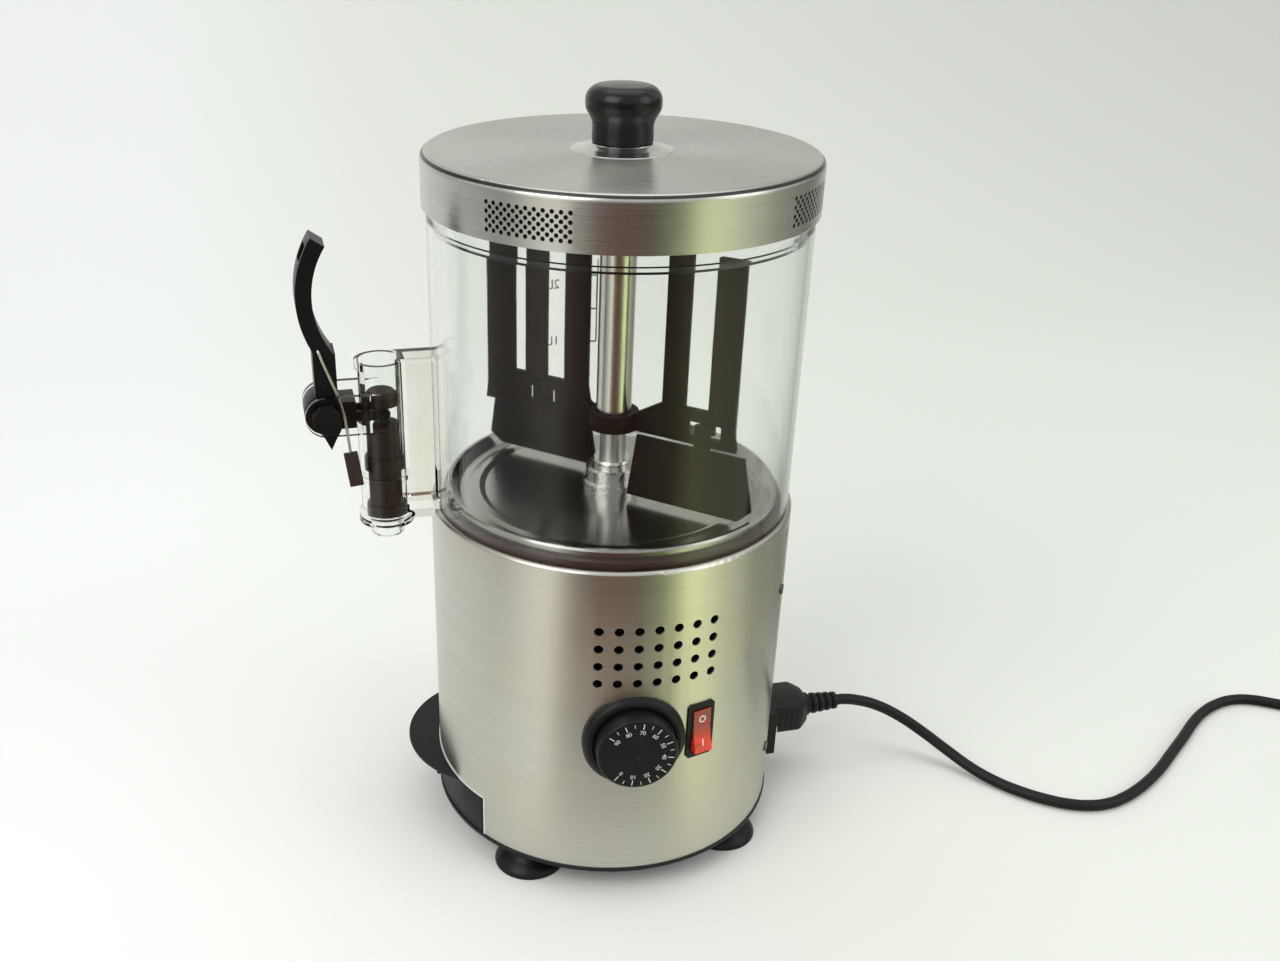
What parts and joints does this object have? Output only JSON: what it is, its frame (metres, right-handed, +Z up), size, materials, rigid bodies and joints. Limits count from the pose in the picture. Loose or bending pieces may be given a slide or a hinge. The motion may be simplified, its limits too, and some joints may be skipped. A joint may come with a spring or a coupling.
{
  "type": "hot chocolate dispenser",
  "caption": "Drink dispenser: heated steel base with a stirrer, a clear tank with a lever tap, and a lid with a knob.",
  "frame": {"origin": "on the table at the machine's vertical axis, level with the suction feet's rims", "axes": "+Z up; the controls face -Y, the tap is on -X and the mains inlet on +X"},
  "size_m": [0.7351, 0.2422, 0.3956],
  "materials": {
    "base_plate": "moulded charcoal plastic",
    "suction_feet": "glossy black rubber",
    "foot_screws": "zinc plated",
    "body_shell": "stainless steel brushed round",
    "rear_panel": "stainless steel brushed round",
    "panel_screws": "bright",
    "front_bracket": "charcoal plastic",
    "seat_ring": "black heat-proof plastic",
    "tie_rods": "turned steel",
    "tie_screws": "bright",
    "chassis_plate": "zinc plated sheet",
    "plate_gasket": "brown silicone",
    "heating_plate": "spun stainless steel",
    "heating_element": "dull sheath",
    "heat_spreader": "plain",
    "insulation_disc": "mica board",
    "standpipe": "polished steel",
    "standpipe_nuts": "polished",
    "shaft_bushes": "sintered bronze",
    "gearbox_case": "die cast",
    "motor_can": "drawn can",
    "gearbox_screws": "bright",
    "thermostat_bezel": "black",
    "thermostat_body": "plated box",
    "thermostat_bulb": "copper",
    "thermal_cutout": "plated",
    "switch_frame": "black",
    "inlet_socket": "black",
    "inlet_pins": "plated",
    "inlet_screws": "bright",
    "terminal_block": "white",
    "wiring": "sleeved wires",
    "mains_connector": "black",
    "mains_cord": "black",
    "cord_coil": "black",
    "mains_plug": "black",
    "plug_pins": "nickel",
    "output_gear": "acetal",
    "drive_shaft": "ground steel",
    "agitator_tube": "polished tube",
    "agitator_frame": "dark brown plastic, satin",
    "scraper_blades": "dark brown plastic, satin",
    "motor_rotor": "laminated",
    "motor_pinion": "machined",
    "thermostat_spindle": "turned steel",
    "thermostat_knob": "black with white marks",
    "switch_rocker": "translucent red",
    "tank": "clear polycarbonate",
    "tap_body": "clear polycarbonate",
    "lever_pin": "black",
    "spring_sleeve": "brown silicone",
    "return_spring": "spring wire",
    "tap_lever": "black",
    "plunger": "brown silicone",
    "lid_shell": "stainless steel brushed round",
    "lid_ring": "stainless steel",
    "lid_ferrule": "polished",
    "lid_knob": "black",
    "lid_screw": "bright"
  },
  "bodies": {
    "base": {"base_plate": "base_plate", "suction_feet": "suction_feet", "foot_screws": "foot_screws", "body_shell": "body_shell", "rear_panel": "rear_panel", "panel_screws": "panel_screws", "front_bracket": "front_bracket", "seat_ring": "seat_ring", "tie_rods": "tie_rods", "tie_screws": "tie_screws", "chassis_plate": "chassis_plate", "plate_gasket": "plate_gasket", "heating_plate": "heating_plate", "heating_element": "heating_element", "heat_spreader": "heat_spreader", "insulation_disc": "insulation_disc", "standpipe": "standpipe", "standpipe_nuts": "standpipe_nuts", "shaft_bushes": "shaft_bushes", "gearbox_case": "gearbox_case", "motor_can": "motor_can", "gearbox_screws": "gearbox_screws", "thermostat_bezel": "thermostat_bezel", "thermostat_body": "thermostat_body", "thermostat_bulb": "thermostat_bulb", "thermal_cutout": "thermal_cutout", "switch_frame": "switch_frame", "inlet_socket": "inlet_socket", "inlet_pins": "inlet_pins", "inlet_screws": "inlet_screws", "terminal_block": "terminal_block", "wiring": "wiring", "mains_connector": "mains_connector", "mains_cord": "mains_cord", "cord_coil": "cord_coil", "mains_plug": "mains_plug", "plug_pins": "plug_pins"},
    "stirrer": {"output_gear": "output_gear", "drive_shaft": "drive_shaft", "agitator_tube": "agitator_tube", "agitator_frame": "agitator_frame", "scraper_blades": "scraper_blades"},
    "rotor": {"motor_rotor": "motor_rotor", "motor_pinion": "motor_pinion"},
    "dial": {"thermostat_spindle": "thermostat_spindle", "thermostat_knob": "thermostat_knob"},
    "rocker": {"switch_rocker": "switch_rocker"},
    "tank_unit": {"tank": "tank", "tap_body": "tap_body", "lever_pin": "lever_pin", "spring_sleeve": "spring_sleeve", "return_spring": "return_spring"},
    "lever": {"tap_lever": "tap_lever"},
    "plunger": {"plunger": "plunger"},
    "lid": {"lid_shell": "lid_shell", "lid_ring": "lid_ring", "lid_ferrule": "lid_ferrule", "lid_knob": "lid_knob", "lid_screw": "lid_screw"}
  },
  "joints": [
    {"name": "tank_lift", "type": "slide", "parent": "base", "child": "tank_unit", "axis": [0, 0, 1], "range_m": [0, 0.2]},
    {"name": "lid_lift", "type": "slide", "parent": "tank_unit", "child": "lid", "axis": [0, 0, 1], "range_m": [0, 0.08]},
    {"name": "lever_pull", "type": "hinge", "parent": "tank_unit", "child": "lever", "pos_m": [-0.145, 0, 0.2491], "axis": [0, -1, 0], "range_deg": [0, 35], "stiffness_Nm_per_rad": 0.25, "springref_deg": -17.19, "deforming": ["return_spring"]},
    {"name": "plunger_lift", "type": "slide", "parent": "tank_unit", "child": "plunger", "axis": [0, 0, 1], "range_m": [0, 0.017]},
    {"name": "stirrer_spin", "type": "hinge", "parent": "base", "child": "stirrer", "pos_m": [0, 0, 0.2], "axis": [0, 0, 1], "continuous": true},
    {"name": "rotor_spin", "type": "hinge", "parent": "base", "child": "rotor", "pos_m": [0.0288, 0, 0.09], "axis": [0, 0, 1], "continuous": true},
    {"name": "dial_turn", "type": "hinge", "parent": "base", "child": "dial", "pos_m": [-0.01097, -0.0994, 0.0986], "axis": [-0.1097, -0.994, 0], "range_deg": [-43, 217]},
    {"name": "switch_rock", "type": "hinge", "parent": "base", "child": "rocker", "pos_m": [0.0247, -0.08966, 0.0986], "axis": [0.9641, 0.2656, 0], "range_deg": [0, 16]}
  ],
  "couplings": [
    {"joint": "plunger_lift", "follows": "lever_pull", "m_per_rad": 0.027},
    {"joint": "rotor_spin", "follows": "stirrer_spin", "ratio": -5}
  ]
}
